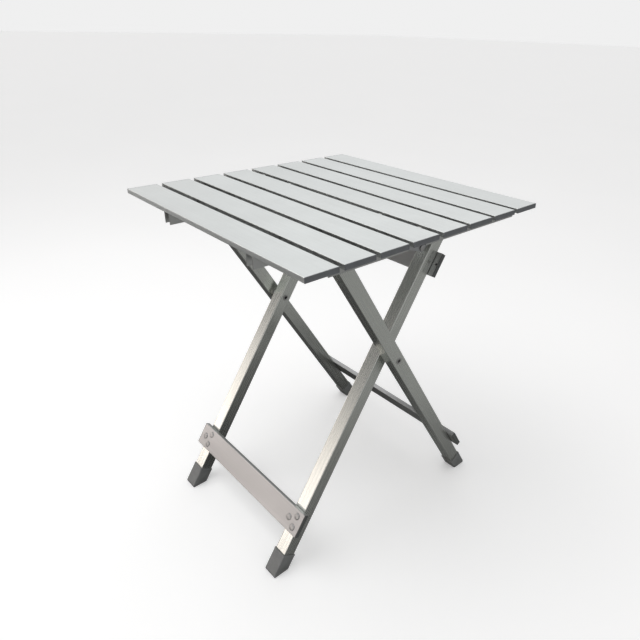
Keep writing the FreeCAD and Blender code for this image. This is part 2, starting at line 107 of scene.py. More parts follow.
# studio: floor, overhead light, and the room that the metal mirrors
FLOOR_SIZE = 80.0
LIGHT_PLACE, LIGHT_AIM, LIGHT_SIZE = (-0.5, -0.7, 2.0), (0, 0, 0.4), 1.6
SHADE_CENTRE, SHADE_NEAR, SHADE_FAR = (-0.75, -0.20, 0.0), 0.7, 1.3
SHADED_FLOOR, OPEN_FLOOR = (0.09, 0.09, 0.089), (0.45, 0.45, 0.445)
BACKDROP = (0.87, 0.87, 0.87)
ROOM = 0.60
HIGH_WINDOW, LOW_SHADE, HIGH_SHADE = 0.62, 0.45, 0.42
LOW_WINDOW = (2.20, 1.93, 1.80, 1.0)
FRONT_LEFT, REAR_LEFT = (-0.65, -0.76, 0.0), (-0.60, 0.80, 0.0)

# sockets of a colour mix: amount, first colour, second colour, and the result
MIX_AMOUNT, MIX_FIRST, MIX_SECOND, MIX_RESULT = 0, 6, 7, 2


# ---------------------------------------------------------------- places, from the frame

def middle(node):
    low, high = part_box(node)
    return (low + high) / 2


def lean_from(low, high):
    """Angle from upright of a line in the Y-Z plane, positive where its top is towards -Y."""
    return math.atan2(low.y - high.y, high.z - low.z)


CROSSING = Vector(JOINTS["leg_fold"]["pos_m"])
FRONT_PIVOT = Vector(JOINTS["front_half_pivot"]["pos_m"])
BACK_PIVOT = middle("inner_leg_pivot_sleeves")
OUTER_LEAN = lean_from(CROSSING, FRONT_PIVOT)
INNER_LEAN = lean_from(CROSSING, BACK_PIVOT)
HALF_TURN = Matrix.Rotation(math.pi, 4, "Z")
SLATS = ["slat_%d" % (index + 1) for index in range(8)]
SIDES = ((-1, "left"), (1, "right"))

# each cross bar, its leg frame and the side that its rivets are set from
BARS = (("front_plate", "inner", -1), ("top_bar", "inner", 1), ("rear_bar", "outer", 1))


def leg_x(name):
    return abs(middle(name + "_leg_right").x)


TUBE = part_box("outer_leg_right")[1].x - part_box("outer_leg_right")[0].x


# ---------------------------------------------------------------- properties

class TableFinishes(bpy.types.PropertyGroup):
    slat: FloatVectorProperty(
        name="Slats", description="Satin anodised aluminium of the slats", subtype="COLOR",
        size=3, min=0, max=1, default=(0.72, 0.745, 0.74))
    bar: FloatVectorProperty(
        name="Bars", description="Anodised aluminium of the cross bars", subtype="COLOR",
        size=3, min=0, max=1, default=(0.465, 0.468, 0.468))
    tube: FloatVectorProperty(
        name="Legs", description="Anodised aluminium of the leg tubes", subtype="COLOR",
        size=3, min=0, max=1, default=(0.68, 0.70, 0.665))
    rail: FloatVectorProperty(
        name="Rails", description="Mill-finish aluminium of the rails", subtype="COLOR",
        size=3, min=0, max=1, default=(0.55, 0.56, 0.55))
    hinge: FloatVectorProperty(
        name="Hinges", description="Zinc-plated steel of the hinge plates", subtype="COLOR",
        size=3, min=0, max=1, default=(0.45, 0.46, 0.47))
    rivet: FloatVectorProperty(
        name="Rivets", description="Bright aluminium of rivets and pivots", subtype="COLOR",
        size=3, min=0, max=1, default=(0.47, 0.47, 0.468))
    slat_plug: FloatVectorProperty(
        name="Slat plugs", description="Plastic that closes the slat ends", subtype="COLOR",
        size=3, min=0, max=1, default=(0.150, 0.158, 0.168))
    frame_plug: FloatVectorProperty(
        name="Frame plugs", description="Plastic that closes tubes and bars", subtype="COLOR",
        size=3, min=0, max=1, default=(0.105, 0.11, 0.107))
    foot: FloatVectorProperty(
        name="Feet", description="Moulded plastic of the foot caps", subtype="COLOR",
        size=3, min=0, max=1, default=(0.232, 0.238, 0.236))
    washer: FloatVectorProperty(
        name="Washers", description="Natural nylon of washers and stop blocks", subtype="COLOR",
        size=3, min=0, max=1, default=(0.62, 0.63, 0.61))
    # painted shade: the colour that darkens inside corners and the gaps between slats
    grime: FloatVectorProperty(
        name="Painted shade", description="Colour of the dirt that collects where pieces meet", subtype="COLOR",
        size=3, min=0, max=1, default=(0.06, 0.06, 0.055))
    dust: FloatVectorProperty(
        name="Dust", description="Colour of the little dust that lies on top", subtype="COLOR",
        size=3, min=0, max=1, default=(0.45, 0.43, 0.40))


class TableSizes(bpy.types.PropertyGroup):
    soft_edge: FloatProperty(
        name="Soft edge", description="Rounding of cut and punched edges", unit="LENGTH",
        default=0.35 * MM)
    plug_edge: FloatProperty(
        name="Plug edge", description="Rounding of the plastic plugs", unit="LENGTH",
        default=0.55 * MM)
    plug_recess: FloatProperty(
        name="Plug recess", description="Depth of the shallow field in a plug", unit="LENGTH",
        default=0.3 * MM)
    rivet_head: FloatProperty(
        name="Rivet head", description="Radius of a bar rivet's head", unit="LENGTH",
        default=5.7 * MM)
    rivet_height: FloatProperty(
        name="Rivet height", description="Height of a bar rivet's head", unit="LENGTH",
        default=1.7 * MM)
    rivet_across: FloatProperty(
        name="Rivet across", description="Bar rivet's distance from the leg's middle line",
        unit="LENGTH", default=8.0 * MM)
    rivet_along: FloatProperty(
        name="Rivet along", description="Bar rivet's distance from the bar's middle line",
        unit="LENGTH", default=10.5 * MM)
    rivet_grip: FloatProperty(
        name="Rivet grip", description="Length of a bar rivet below its head", unit="LENGTH",
        default=13.5 * MM)
    pin_shank: FloatProperty(
        name="Pin shank", description="Radius of a tubular pivot pin", unit="LENGTH",
        default=4.0 * MM)
    pin_bore: FloatProperty(
        name="Pin bore", description="Radius of the hole through a pivot pin", unit="LENGTH",
        default=3.1 * MM)
    pin_flange: FloatProperty(
        name="Pin flange", description="Radius of a pivot pin's rolled end", unit="LENGTH",
        default=5.6 * MM)
    pin_lip: FloatProperty(
        name="Pin lip", description="Thickness of a pivot pin's rolled end", unit="LENGTH",
        default=1.0 * MM)
    small_head: FloatProperty(
        name="Small rivet head", description="Radius of a slat rivet's head", unit="LENGTH",
        default=4.5 * MM)
    small_height: FloatProperty(
        name="Small rivet height", description="Height of a slat rivet's head", unit="LENGTH",
        default=1.5 * MM)
    mandrel: FloatProperty(
        name="Mandrel hole", description="Radius of the hole a blind rivet's mandrel leaves",
        unit="LENGTH", default=1.35 * MM)
    cap_length: FloatProperty(
        name="Cap length", description="Length of a foot cap along its leg", unit="LENGTH",
        default=37.0 * MM)
    cap_lip: FloatProperty(
        name="Cap lip", description="How far a foot cap's rim stands out", unit="LENGTH",
        default=0.3 * MM)
    cap_wall: FloatProperty(
        name="Cap wall", description="Wall of a foot cap", unit="LENGTH", default=1.6 * MM)
    turning: IntProperty(
        name="Turning", description="Faces round a turned piece", default=40, min=12)


class TableStage(bpy.types.PropertyGroup):
    eye: FloatVectorProperty(
        name="Eye", description="Where the camera stands", subtype="TRANSLATION", size=3,
        default=(0.7281, -0.6105, 0.8657))
    aim: FloatVectorProperty(
        name="Aim", description="How the camera is turned", subtype="EULER", size=3,
        default=(math.radians(62.58), math.radians(-1.43), math.radians(47.25)))
    lens: FloatProperty(name="Lens", description="Focal length in millimetres", default=31.55)
    shift_x: FloatProperty(name="Shift X", description="Sideways lens shift", default=-0.0599)
    shift_y: FloatProperty(name="Shift Y", description="Upward lens shift", default=-0.0076)
    floor: FloatVectorProperty(
        name="Floor", description="Colour of the studio floor", subtype="COLOR", size=3,
        min=0, max=1, default=(0.93, 0.93, 0.93))
    lift: FloatProperty(name="Floor lift", description="Light that the floor itself gives", default=0.27)
    sky: FloatProperty(name="Surround", description="Brightness of the surround", default=1.0)
    key: FloatProperty(name="Key light", description="Power of the overhead light",
                       unit="POWER", default=14.0)


# ---------------------------------------------------------------- selection and mesh helpers

def deselect():
    if bpy.context.mode != "OBJECT":
        bpy.ops.object.mode_set(mode="OBJECT")
    bpy.ops.object.select_all(action="DESELECT")


def only(piece):
    deselect()
    piece.select_set(True)
    bpy.context.view_layer.objects.active = piece


def added(name):
    piece = bpy.context.object
    piece.name = name
    piece.data.name = name
    return piece


def settle(piece):
    """Apply an object's place, turn and size to its mesh."""
    only(piece)
    bpy.ops.object.transform_apply(location=True, rotation=True, scale=True)
    return piece


def pick_faces(piece, wanted):
    """In edit mode, select only the faces whose normal answers wanted(normal)."""
    bpy.ops.mesh.select_all(action="DESELECT")
    bpy.ops.object.mode_set(mode="OBJECT")
    for face in piece.data.polygons:
        face.select = wanted(face.normal)
    bpy.ops.object.mode_set(mode="EDIT")


def pick_edges(piece, wanted):
    """In edit mode, select only the edges whose two ends answer wanted(a, b)."""
    bpy.ops.mesh.select_all(action="DESELECT")
    bpy.ops.mesh.select_mode(type="EDGE")
    bpy.ops.object.mode_set(mode="OBJECT")
    points = piece.data.vertices
    for edge in piece.data.edges:
        a, b = (points[index].co for index in edge.vertices)
        edge.select = wanted(a, b)
    bpy.ops.object.mode_set(mode="EDIT")


def round_edges(piece, width, segments=3, angle=35):
    """Round every edge that is sharper than an angle, and shade it smooth."""
    only(piece)
    bevel = piece.modifiers.new("Edges", "BEVEL")
    bevel.width = width
    bevel.segments = segments
    bevel.limit_method = "ANGLE"
    bevel.angle_limit = math.radians(angle)
    bevel.use_clamp_overlap = True
    bpy.ops.object.modifier_apply(modifier=bevel.name)
    bpy.ops.object.shade_smooth_by_angle(angle=math.radians(angle))
    return piece


def copy_of(piece, name, matrix):
    """A copy with its own mesh, moved in its mesh."""
    mesh = piece.data.copy()
    mesh.transform(matrix)
    twin = bpy.data.objects.new(name, mesh)
    bpy.context.scene.collection.objects.link(twin)
    return twin


def joined(pieces, name):
    deselect()
    for piece in pieces:
        piece.select_set(True)
    bpy.context.view_layer.objects.active = pieces[0]
    if len(pieces) > 1:
        bpy.ops.object.join()
    return added(name)


def repeated(master, matrices, name):
    """Copies of a master at several places, joined, with the master removed."""
    copies = [copy_of(master, name, matrix) for matrix in matrices]
    bpy.data.objects.remove(master)
    return joined(copies, name)


def finish_piece(piece, slot, body, *nodes):
    piece.data.materials.clear()
    piece.data.materials.append(finish(slot))
    if nodes:
        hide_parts(*nodes)
    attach(piece, body)
    return piece


def dress(node, slot):
    """Give a CAD piece its finish, and leave its shape alone."""
    target = frame["nodes"][node]
    if not target.material_slots:
        target.data.materials.append(None)
    for place in target.material_slots:
        place.material = finish(slot)


def softened(node, slot, body, width, name):
    """A copy of a CAD piece with its cut edges rounded, in place of it."""
    source = frame["nodes"][node]
    piece = bpy.data.objects.new(name, source.data.copy())
    bpy.context.scene.collection.objects.link(piece)
    only(piece)
    bpy.ops.object.mode_set(mode="EDIT")
    bpy.ops.mesh.select_all(action="SELECT")
    bpy.ops.mesh.remove_doubles(threshold=WELD)
    bpy.ops.mesh.dissolve_limited(angle_limit=LEVEL_ANGLE)
    bpy.ops.object.mode_set(mode="OBJECT")
    round_edges(piece, width, segments=2)
    return finish_piece(piece, slot, body, node)


def turned(name, outline, edge):
    """A piece turned on a lathe about Z, from a closed outline of (radius, height) points."""
    deselect()
    bpy.ops.mesh.primitive_circle_add(vertices=len(outline), radius=1, fill_type="NOTHING")
    piece = added(name)
    for vertex, (radius, height) in zip(piece.data.vertices, outline):
        vertex.co = (radius, 0, height)
    bpy.ops.object.mode_set(mode="EDIT")
    bpy.ops.mesh.select_all(action="SELECT")
    steps = bpy.context.scene.table_sizes.turning
    bpy.ops.mesh.spin(steps=steps, angle=2 * math.pi, center=(0, 0, 0), axis=(0, 0, 1))
    bpy.ops.mesh.select_all(action="SELECT")
    bpy.ops.mesh.remove_doubles(threshold=SPIN_WELD)
    bpy.ops.mesh.normals_make_consistent(inside=False)
    bpy.ops.object.mode_set(mode="OBJECT")
    return round_edges(piece, edge, angle=32)


# ---------------------------------------------------------------- shader groups

class Wires:
    """A short way to add nodes to a tree and join them."""

    def __init__(self, tree):
        self.tree = tree

    def add(self, kind, **settings):
        node = self.tree.nodes.new(kind)
        for key, value in settings.items():
            if key.startswith("in_"):
                index = key[3:]
                node.inputs[int(index) if index.isdigit() else index].default_value = value
            else:
                setattr(node, key, value)
        return node

    def join(self, source, target):
        self.tree.links.new(source, target)

    def math(self, operation, first, second):
        node = self.add("ShaderNodeMath", operation=operation)
        for socket, value in zip(node.inputs, (first, second)):
            if isinstance(value, (int, float)):
                socket.default_value = value
            else:
                self.join(value, socket)
        return node.outputs[0]

    def ramp(self, value, low, high, start=0.0, end=1.0):
        node = self.add("ShaderNodeMapRange", clamp=True)
        self.join(value, node.inputs["Value"])
        for key, number in (("From Min", low), ("From Max", high), ("To Min", start), ("To Max", end)):
            node.inputs[key].default_value = number
        return node.outputs["Result"]

    def mix(self, amount, first, second):
        node = self.add("ShaderNodeMix", data_type="RGBA")
        for place, value in ((MIX_AMOUNT, amount), (MIX_FIRST, first), (MIX_SECOND, second)):
            socket = node.inputs[place]
            if isinstance(value, (int, float)):
                socket.default_value = value
            elif isinstance(value, tuple):
                socket.default_value = value + (1.0,)
            else:
                self.join(value, socket)
        return node.outputs[MIX_RESULT]


def new_group(name, inputs, outputs):
    """An empty shader group with named sockets: inputs are (name, kind, default)."""
    tree = bpy.data.node_groups.new(name, "ShaderNodeTree")
    for socket, kind, default in inputs:
        item = tree.interface.new_socket(name=socket, in_out="INPUT", socket_type=kind)
        if default is not None:
            item.default_value = default
    for socket, kind in outputs:
        tree.interface.new_socket(name=socket, in_out="OUTPUT", socket_type=kind)
    wires = Wires(tree)
    start = wires.add("NodeGroupInput")
    end = wires.add("NodeGroupOutput")
    return wires, start, end


def drawn_lines_group():
    """Fine lines that a die leaves along an extrusion, and slow clouds in its anodising."""
    wires, start, end = new_group(
        "Drawn Lines",
        [("Vector", "NodeSocketVector", None), ("Line Scale", "NodeSocketFloat", 900.0),
         ("Run", "NodeSocketFloat", 5.0)],
        [("Lines", "NodeSocketFloat"), ("Clouds", "NodeSocketFloat"), ("Scratches", "NodeSocketFloat")])
    along = wires.add("ShaderNodeSeparateXYZ")
    wires.join(start.outputs["Vector"], along.inputs[0])
    stretched = wires.add("ShaderNodeCombineXYZ")
    wires.join(wires.math("MULTIPLY", along.outputs[0], start.outputs["Run"]), stretched.inputs[0])
    for axis in (1, 2):
        wide = wires.math("MULTIPLY", along.outputs[axis], start.outputs["Line Scale"])
        wires.join(wide, stretched.inputs[axis])
    lines = wires.add("ShaderNodeTexNoise", in_Scale=1.0, in_Detail=3.0, in_Roughness=0.6)
    wires.join(stretched.outputs[0], lines.inputs["Vector"])
    clouds = wires.add("ShaderNodeTexNoise", in_Scale=9.0, in_Detail=3.0, in_Roughness=0.5)
    wires.join(start.outputs["Vector"], clouds.inputs["Vector"])
    skew = wires.add("ShaderNodeMapping", in_Rotation=(0.0, 0.0, 0.35), in_Scale=(14.0, 420.0, 420.0))
    wires.join(start.outputs["Vector"], skew.inputs["Vector"])
    marks = wires.add("ShaderNodeTexNoise", in_Scale=1.0, in_Detail=1.0)
    wires.join(skew.outputs[0], marks.inputs["Vector"])
    patch = wires.add("ShaderNodeTexNoise", in_Scale=22.0, in_Detail=1.0)
    wires.join(start.outputs["Vector"], patch.inputs["Vector"])
    thin = wires.ramp(marks.outputs[0], 0.70, 0.76)
    here = wires.ramp(patch.outputs[0], 0.52, 0.66)
    wires.join(lines.outputs[0], end.inputs["Lines"])
    wires.join(clouds.outputs[0], end.inputs["Clouds"])
    wires.join(wires.math("MULTIPLY", thin, here), end.inputs["Scratches"])
    return wires.tree


def edge_wear_group():
    """Where an edge has been rubbed: a mask that is strongest on outside corners."""
    wires, start, end = new_group(
        "Edge Wear",
        [("Vector", "NodeSocketVector", None), ("Width", "NodeSocketFloat", 0.0008),
         ("Amount", "NodeSocketFloat", 0.6)],
        [("Mask", "NodeSocketFloat")])
    rounded = wires.add("ShaderNodeBevel", samples=4)
    wires.join(start.outputs["Width"], rounded.inputs["Radius"])
    shape = wires.add("ShaderNodeNewGeometry")
    facing = wires.add("ShaderNodeVectorMath", operation="DOT_PRODUCT")
    wires.join(rounded.outputs[0], facing.inputs[0])
    wires.join(shape.outputs["True Normal"], facing.inputs[1])
    sharp = wires.ramp(facing.outputs["Value"], 0.995, 0.90)
    patches = wires.add("ShaderNodeTexNoise", in_Scale=130.0, in_Detail=2.0)
    wires.join(start.outputs["Vector"], patches.inputs["Vector"])
    rubbed = wires.math("MULTIPLY", sharp, wires.ramp(patches.outputs[0], 0.35, 0.62, 0.25, 1.0))
    wires.join(wires.math("MULTIPLY", rubbed, start.outputs["Amount"]), end.inputs["Mask"])
    return wires.tree


def settled_dust_group():
    """Dust on faces that look up, in faint patches."""
    wires, start, end = new_group(
        "Settled Dust",
        [("Vector", "NodeSocketVector", None), ("Amount", "NodeSocketFloat", 0.1)],
        [("Mask", "NodeSocketFloat")])
    shape = wires.add("ShaderNodeNewGeometry")
    up = wires.add("ShaderNodeSeparateXYZ")
    wires.join(shape.outputs["Normal"], up.inputs[0])
    patches = wires.add("ShaderNodeTexNoise", in_Scale=34.0, in_Detail=5.0, in_Roughness=0.7)
    wires.join(start.outputs["Vector"], patches.inputs["Vector"])
    flat = wires.ramp(up.outputs[2], 0.3, 0.95)
    thick = wires.ramp(patches.outputs[0], 0.42, 0.75)
    wires.join(wires.math("MULTIPLY", wires.math("MULTIPLY", flat, thick), start.outputs["Amount"]),
               end.inputs["Mask"])
    return wires.tree


def painted_corner_shade_group():
    """Painted shade: ambient occlusion darkens the colour in the inside corners where one piece stands on
    another, and in narrow gaps.
    """
    wires, start, end = new_group(
        "Corner Grime",
        [("Vector", "NodeSocketVector", None), ("Reach", "NodeSocketFloat", 0.0022),
         ("Amount", "NodeSocketFloat", 0.5)],
        [("Mask", "NodeSocketFloat")])
    # painted shade: ambient occlusion measures how closed in each point is, and that darkens its colour
    closeness = wires.add("ShaderNodeAmbientOcclusion", samples=6)
    wires.join(start.outputs["Reach"], closeness.inputs["Distance"])
    corner = wires.ramp(closeness.outputs["AO"], 0.93, 0.52)
    patches = wires.add("ShaderNodeTexNoise", in_Scale=90.0, in_Detail=3.0)
    wires.join(start.outputs["Vector"], patches.inputs["Vector"])
    uneven = wires.ramp(patches.outputs[0], 0.3, 0.6, 0.55, 1.0)
    shading = wires.math("MULTIPLY", corner, uneven)
    wires.join(wires.math("MULTIPLY", shading, start.outputs["Amount"]), end.inputs["Mask"])
    return wires.tree


def moulded_skin_group():
    """Fine leathery skin of a moulded plastic, and paler scuffs."""
    wires, start, end = new_group(
        "Moulded Skin",
        [("Vector", "NodeSocketVector", None), ("Grain", "NodeSocketFloat", 1400.0)],
        [("Height", "NodeSocketFloat"), ("Tone", "NodeSocketFloat"), ("Scuffs", "NodeSocketFloat")])
    skin = wires.add("ShaderNodeTexVoronoi", feature="SMOOTH_F1", in_Smoothness=0.6)
    wires.join(start.outputs["Vector"], skin.inputs["Vector"])
    wires.join(start.outputs["Grain"], skin.inputs["Scale"])
    tone = wires.add("ShaderNodeTexNoise", in_Scale=60.0, in_Detail=4.0)
    wires.join(start.outputs["Vector"], tone.inputs["Vector"])
    marks = wires.add("ShaderNodeTexNoise", in_Scale=260.0, in_Detail=6.0, in_Roughness=0.75)
    wires.join(start.outputs["Vector"], marks.inputs["Vector"])
    wires.join(skin.outputs["Distance"], end.inputs["Height"])
    wires.join(tone.outputs[0], end.inputs["Tone"])
    wires.join(wires.ramp(marks.outputs[0], 0.60, 0.74), end.inputs["Scuffs"])
    return wires.tree


GROUPS = {"Drawn Lines": drawn_lines_group, "Edge Wear": edge_wear_group,
          "Settled Dust": settled_dust_group, "Corner Grime": painted_corner_shade_group,
          "Moulded Skin": moulded_skin_group}


def use_group(wires, name, vector, **values):
    tree = bpy.data.node_groups.get(name) or GROUPS[name]()
    node = wires.add("ShaderNodeGroup")
    node.node_tree = tree
    wires.join(vector, node.inputs["Vector"])
    for key, value in values.items():
        node.inputs[key.replace("_", " ")].default_value = value
    return node.outputs


# ---------------------------------------------------------------- materials

def shaded(colour, factor):
    return tuple(min(1.0, channel * factor) for channel in colour)


def new_material(name):
    """An empty material: with it come its wires, its shader and the place on the piece."""
    material = bpy.data.materials.new(name)
    material.use_nodes = True
    wires = Wires(material.node_tree)
    place = wires.add("ShaderNodeTexCoord").outputs["Object"]
    return material, wires, material.node_tree.nodes["Principled BSDF"], place


def metal(name, colour, roughness, lean=None, wear=0.35, dust=0.05, grime=0.6, reach=CORNER_REACH):
    """Extruded aluminium with its die lines along X, or along a leg that leans."""
    material, wires, shader, place = new_material(name)
    shader.inputs["Metallic"].default_value = 1.0
    shader.inputs["IOR"].default_value = 1.5
    line_space = place
    if lean is not None:
        aligned = wires.add("ShaderNodeMapping", vector_type="TEXTURE", in_Rotation=(lean, 0.0, 0.0))
        wires.join(place, aligned.inputs["Vector"])
        upright = wires.add("ShaderNodeMapping", in_Rotation=(0.0, math.radians(90), 0.0))
        wires.join(aligned.outputs[0], upright.inputs["Vector"])
        line_space = upright.outputs[0]
    drawn = use_group(wires, "Drawn Lines", line_space)
    worn = use_group(wires, "Edge Wear", place, Amount=wear)
    dusty = use_group(wires, "Settled Dust", place, Amount=dust)
    # painted shade: ambient occlusion darkens corners and gaps, and makes them a little rougher
    corner_shade = use_group(wires, "Corner Grime", place, Amount=grime, Reach=reach)
    base = wires.mix(wires.ramp(drawn["Clouds"], 0.3, 0.7), *(shaded(colour, tone) for tone in CLOUD_TONES))
    lines = wires.ramp(drawn["Lines"], 0.35, 0.65, 0.0, LINE_SHARE)
    base = wires.mix(lines, base, shaded(colour, LINE_TONE))
    scratches = wires.math("MULTIPLY", drawn["Scratches"], SCRATCH_SHARE)
    base = wires.mix(scratches, base, shaded(colour, SCRATCH_TONE))
    base = wires.mix(worn["Mask"], base, shaded(colour, RUBBED_METAL))
    finishes = bpy.context.scene.table_finishes
    base = wires.mix(dusty["Mask"], base, tuple(finishes.dust))
    # painted shade mixed into the metal's colour
    base = wires.mix(corner_shade["Mask"], base, tuple(finishes.grime))
    rough = wires.ramp(drawn["Lines"], 0.3, 0.7, *(roughness + change for change in LINE_ROUGH))
    for mask, change in ((drawn["Scratches"], SCRATCH_ROUGH), (dusty["Mask"], DUST_ROUGH),
                         (corner_shade["Mask"], CORNER_SHADE_ROUGH)):
        rough = wires.math("ADD", rough, wires.math("MULTIPLY", mask, change))
    bump = wires.add("ShaderNodeBump", in_Strength=LINE_BUMP, in_Distance=LINE_DEPTH)
    wires.join(drawn["Lines"], bump.inputs["Height"])
    wires.join(base, shader.inputs["Base Color"])
    wires.join(rough, shader.inputs["Roughness"])
    wires.join(wires.math("SUBTRACT", 1.0, dusty["Mask"]), shader.inputs["Metallic"])
    wires.join(bump.outputs[0], shader.inputs["Normal"])
    return material


def plastic(name, colour, roughness, scuff=0.3):
    """Moulded plastic with a fine skin, uneven tone, rubbed edges and scuffs."""
    material, wires, shader, place = new_material(name)
    shader.inputs["IOR"].default_value = 1.49
    skin = use_group(wires, "Moulded Skin", place)
    worn = use_group(wires, "Edge Wear", place, Amount=PLASTIC_WEAR, Width=PLASTIC_WEAR_WIDTH)
    dusty = use_group(wires, "Settled Dust", place, Amount=PLASTIC_DUST)
    # painted shade: ambient occlusion darkens the plastic in its corners
    corner_shade = use_group(wires, "Corner Grime", place, Amount=PLASTIC_CORNER_SHADE)
    base = wires.mix(wires.ramp(skin["Tone"], 0.3, 0.7), *(shaded(colour, tone) for tone in SKIN_TONES))
    base = wires.mix(wires.math("MULTIPLY", skin["Scuffs"], scuff), base, shaded(colour, SCUFF_TONE))
    base = wires.mix(worn["Mask"], base, shaded(colour, RUBBED_PLASTIC))
    finishes = bpy.context.scene.table_finishes
    base = wires.mix(dusty["Mask"], base, tuple(finishes.dust))
    # painted shade mixed into the colour, at half the shade colour
    base = wires.mix(corner_shade["Mask"], base, shaded(finishes.grime, PLASTIC_CORNER_SHADE_TONE))
    rough = wires.ramp(skin["Tone"], 0.3, 0.7, *(roughness + change for change in SKIN_ROUGH))
    bump = wires.add("ShaderNodeBump", in_Strength=SKIN_BUMP, in_Distance=SKIN_DEPTH)
    wires.join(skin["Height"], bump.inputs["Height"])
    wires.join(base, shader.inputs["Base Color"])
    wires.join(rough, shader.inputs["Roughness"])
    wires.join(bump.outputs[0], shader.inputs["Normal"])
    return material


# each finish: its maker, name, colour, roughness and what differs from the maker's own values
FINISH_MAKERS = {
    # the slats carry strong painted shade, reaching down into the gaps between them
    "slat_metal": (metal, "Slat aluminium", "slat", 0.36, {"grime": 0.95, "reach": GAP_REACH}),
    "bar_metal": (metal, "Bar aluminium", "bar", 0.36, {"wear": 0.3}),
    "rail_metal": (metal, "Rail aluminium", "rail", 0.40, {}),
    "tube_metal_outer": (metal, "Outer leg aluminium", "tube", 0.25, {"lean": OUTER_LEAN, "wear": 0.3}),
    "tube_metal_inner": (metal, "Inner leg aluminium", "tube", 0.25, {"lean": INNER_LEAN, "wear": 0.3}),
    "hinge_steel": (metal, "Hinge steel", "hinge", 0.38, {"wear": 0.4}),
    "rivet_metal": (metal, "Rivet aluminium", "rivet", 0.40, {"wear": 0.2, "dust": 0.03}),
    "slat_plug_plastic": (plastic, "Slat plug plastic", "slat_plug", 0.50, {}),
    "frame_plug_plastic": (plastic, "Frame plug plastic", "frame_plug", 0.50, {}),
    "foot_plastic": (plastic, "Foot plastic", "foot", 0.54, {"scuff": 0.65}),
    "washer_plastic": (plastic, "Washer nylon", "washer", 0.42, {"scuff": 0.1}),
}
FINISHES = {}


def finish(slot):
    """The material of one slot of the record, made once; a leg frame has its own tube metal."""
    if slot not in FINISHES:
        maker, name, colour, roughness, changes = FINISH_MAKERS[slot]
        colours = bpy.context.scene.table_finishes
        FINISHES[slot] = maker(name, tuple(getattr(colours, colour)), roughness, **changes)
    return FINISHES[slot]


# ---------------------------------------------------------------- masters for repeated pieces

def button_rivet(head, height, grip, hole, name):
    """Rivet on Z: low button head on z = 0, flat in the middle, shank below; a hole if it is blind."""
    outline = [(RIVET_SHANK, -grip), (RIVET_SHANK, 0), (head, 0)]
    for step in range(RIVET_STEPS + 1):
        angle = math.pi / 2 * step / RIVET_STEPS
        radius = hole + (head - hole) * math.cos(angle) ** RIVET_BULGE
        rise = RIVET_RIM + (1 - RIVET_RIM) * math.sin(angle) ** RIVET_CROWN
        outline.append((radius, height * rise))
    if hole > 0:
        floor = height - MANDREL_DEPTH
        outline += [(hole, floor), (0.45 * hole, floor + MANDREL_DISH), (0, floor + MANDREL_TIP)]
    outline.append((0, -grip))
    return turned(name, outline, RIVET_EDGE)


def end_plug(width, height, name):
    """Closing plate with rounded edges and a shallow field, its outer face towards +X."""
    sizes = bpy.context.scene.table_sizes
    deselect()
    bpy.ops.mesh.primitive_cube_add(size=1)
    plug = added(name)
    plug.scale = (PLUG_THICK, width, height)
    settle(plug)
    bpy.ops.object.mode_set(mode="EDIT")
    bpy.ops.mesh.select_mode(type="FACE")
    pick_faces(plug, lambda normal: normal.x > 0.9)
    bpy.ops.mesh.inset(thickness=PLUG_RIM, depth=0.0)
    bpy.ops.mesh.inset(thickness=sizes.plug_recess, depth=-sizes.plug_recess)
    bpy.ops.object.mode_set(mode="OBJECT")
    return round_edges(plug, min(sizes.plug_edge, 0.45 * PLUG_THICK))


def lean_of(legs):
    return OUTER_LEAN if legs == "outer" else INNER_LEAN


def foot_cap(name, legs):
    """Sleeve with a rim and a socket, in leg coordinates: the leg's middle line is Z."""
    sizes = bpy.context.scene.table_sizes
    half = TUBE / 2 + sizes.cap_wall
    floor = -CROSSING.z / math.cos(lean_of(legs))
    top = floor + sizes.cap_length
    below = floor - TUBE
    deselect()
    bpy.ops.mesh.primitive_cube_add(size=1)
    cap = added(name)
    cap.scale = (2 * half, 2 * half, top - CAP_RIM - below)
    cap.location = (0, 0, (top - CAP_RIM + below) / 2)
    settle(cap)
    bpy.ops.object.mode_set(mode="EDIT")
    pick_edges(cap, lambda a, b: abs(a.z - b.z) > MM)
    bpy.ops.mesh.bevel(offset=CAP_CORNER, segments=5, profile=0.5)
    bpy.ops.mesh.select_mode(type="FACE")
    pick_faces(cap, lambda normal: normal.z > 0.9)
    grow = (half + sizes.cap_lip) / half
    bpy.ops.mesh.extrude_region_move(TRANSFORM_OT_translate={"value": (0, 0, CAP_FLARE)})
    bpy.ops.transform.resize(value=(grow, grow, 1))
    bpy.ops.mesh.extrude_region_move(TRANSFORM_OT_translate={"value": (0, 0, CAP_RIM - CAP_FLARE)})
    bpy.ops.mesh.inset(thickness=sizes.cap_lip + sizes.cap_wall - CAP_GAP, depth=0)
    bpy.ops.mesh.extrude_region_move(TRANSFORM_OT_translate={"value": (0, 0, -CAP_SOCKET)})
    bpy.ops.object.mode_set(mode="OBJECT")
    return cap


def leg_matrix(legs):
    """From leg coordinates to the place of a leg in the middle plane."""
    crossing = Matrix.Translation((0, CROSSING.y, CROSSING.z))
    return crossing @ Matrix.Rotation(lean_of(legs), 4, "X")


def cut_level(piece, point, keep):
    """Cut a piece by a plane and close the cut, keeping the side that keep points to."""
    only(piece)
    bpy.ops.object.mode_set(mode="EDIT")
    bpy.ops.mesh.select_all(action="SELECT")
    bpy.ops.mesh.bisect(plane_co=point, plane_no=keep, use_fill=True, clear_inner=True)
    bpy.ops.object.mode_set(mode="OBJECT")


def bar_frame(bar, legs):
    """A cross bar's middle, its turn, half its length, its width up the leg and its thickness."""
    low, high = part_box(bar)
    size = high - low
    lean = lean_of(legs)
    c, s = math.cos(lean), math.sin(abs(lean))
    wide = (size.z * c - size.y * s) / (c * c - s * s)
    deep = (size.y * c - size.z * s) / (c * c - s * s)
    place = Matrix.Translation((low + high) / 2)
    return place, Matrix.Rotation(lean, 4, "X"), size.x / 2, wide, deep


